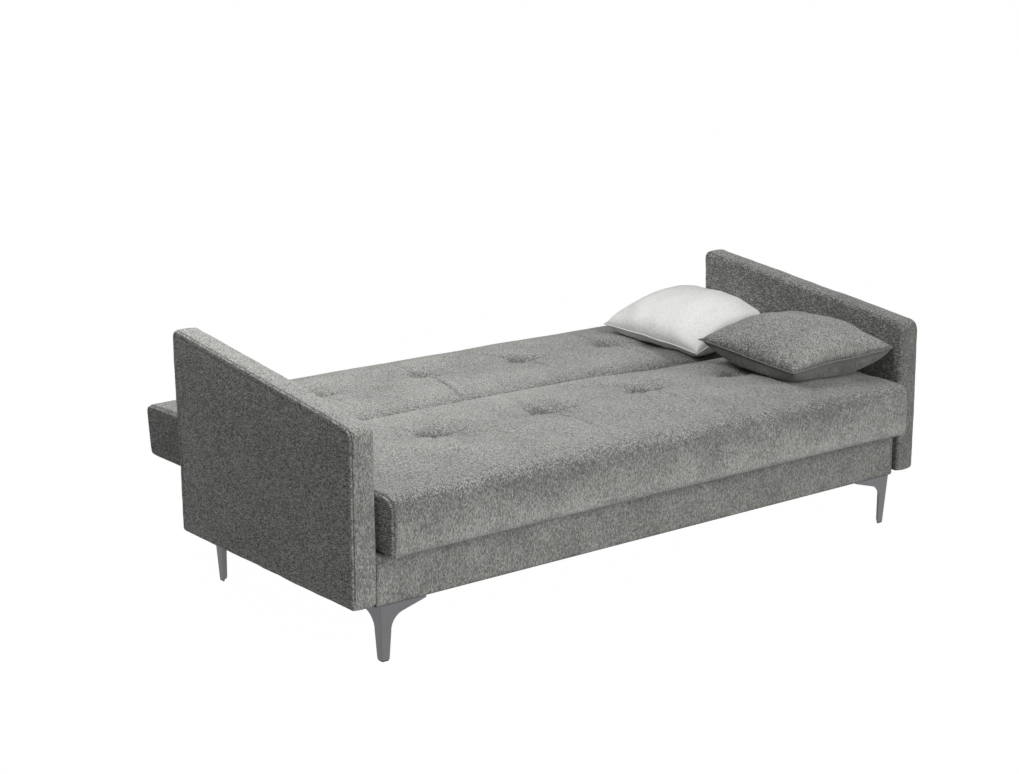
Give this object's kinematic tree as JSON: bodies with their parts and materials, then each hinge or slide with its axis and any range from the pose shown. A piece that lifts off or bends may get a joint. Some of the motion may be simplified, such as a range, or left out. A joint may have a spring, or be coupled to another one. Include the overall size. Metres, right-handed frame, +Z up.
{
  "type": "sofa bed",
  "caption": "Sofa bed opened flat: slim padded arms, tufted seat and fold-down backrest, bedding box, angled metal legs and loose pillows.",
  "frame": {"origin": "on the floor, under the middle of the opened bed", "axes": "+X along the sofa to its right-hand end seen from the front, +Y to the back, +Z up"},
  "size_m": [2.029, 1.2206, 0.7179],
  "materials": {
    "sofa_fabric": "woven chenille, mid grey",
    "white_fabric": "textured weave, off-white",
    "fibre_fill": "polyester fibre",
    "foam": "open-cell foam",
    "lining_cloth": "nonwoven",
    "twine": "waxed twine",
    "hardboard": "pressed board",
    "timber": "planed softwood",
    "leg_metal": "satin",
    "nylon": "moulded",
    "zinc_screw": "zinc plated",
    "hinge_steel": "black powder coat"
  },
  "bodies": {
    "base": {"arm_bolts": "zinc_screw", "arm_cover_left": "sofa_fabric", "arm_cover_right": "sofa_fabric", "arm_frame_left": "timber", "arm_frame_right": "timber", "arm_skins_left": "hardboard", "arm_skins_right": "hardboard", "box_floor": "hardboard", "brace_screws": "zinc_screw", "bracket_screws": "zinc_screw", "corner_braces": "hinge_steel", "floor_bearers": "timber", "front_rail": "timber", "front_rail_cover": "sofa_fabric", "leg_blocks": "timber", "leg_front_left": "leg_metal", "leg_front_right": "leg_metal", "leg_glides": "nylon", "leg_rear_left": "leg_metal", "leg_rear_right": "leg_metal", "leg_screws": "zinc_screw", "lift_bracket_left": "hinge_steel", "lift_bracket_right": "hinge_steel", "lift_washers": "nylon", "rear_rail": "timber", "rear_rail_cover": "sofa_fabric", "side_board_left": "timber", "side_board_right": "timber"},
    "seat": {"seat_cover": "sofa_fabric", "seat_cross_rails": "timber", "seat_deck": "hardboard", "seat_far_rail": "timber", "seat_foam": "foam", "seat_hinge_plate_left": "hinge_steel", "seat_hinge_plate_right": "hinge_steel", "seat_lining": "lining_cloth", "seat_near_rail": "timber", "seat_plate_screws": "zinc_screw", "seat_plate_spacers": "nylon", "seat_tuft_ties": "twine", "lift_bushes": "nylon"},
    "backrest": {"back_cover": "sofa_fabric", "back_cross_rails": "timber", "back_deck": "hardboard", "back_far_rail": "timber", "back_foam": "foam", "back_hinge_plate_left": "hinge_steel", "back_hinge_plate_right": "hinge_steel", "back_lining": "lining_cloth", "back_near_rail": "timber", "back_plate_screws": "zinc_screw", "back_plate_washers": "nylon", "back_tuft_ties": "twine", "fold_pin_left": "hinge_steel", "fold_pin_right": "hinge_steel"},
    "grey_pillow": {"grey_pillow_cover": "sofa_fabric", "grey_pillow_fill": "fibre_fill"},
    "white_pillow": {"white_pillow_cover": "white_fabric", "white_pillow_fill": "fibre_fill"}
  },
  "joints": [
    {"name": "seat_lift", "type": "hinge", "parent": "base", "child": "seat", "pos_m": [0, 0.229, 0.3], "axis": [-1, 0, 0], "range_deg": [0, 35]},
    {"name": "backrest_fold", "type": "hinge", "parent": "seat", "child": "backrest", "pos_m": [0, 0.095, 0.39], "axis": [1, 0, 0], "range_deg": [0, 80]},
    {"name": "grey_pillow_slide", "type": "slide", "parent": "seat", "child": "grey_pillow", "axis": [0, -1, 0], "range_m": [0, 0.11]},
    {"name": "white_pillow_lift", "type": "hinge", "parent": "seat", "child": "white_pillow", "pos_m": [0, 0.029, 0.462], "axis": [1, 0, 0], "range_deg": [0, 80]}
  ],
  "couplings": [
    {"joint": "grey_pillow_slide", "follows": "backrest_fold", "m_per_rad": 0.0785},
    {"joint": "white_pillow_lift", "follows": "backrest_fold", "ratio": 1}
  ]
}
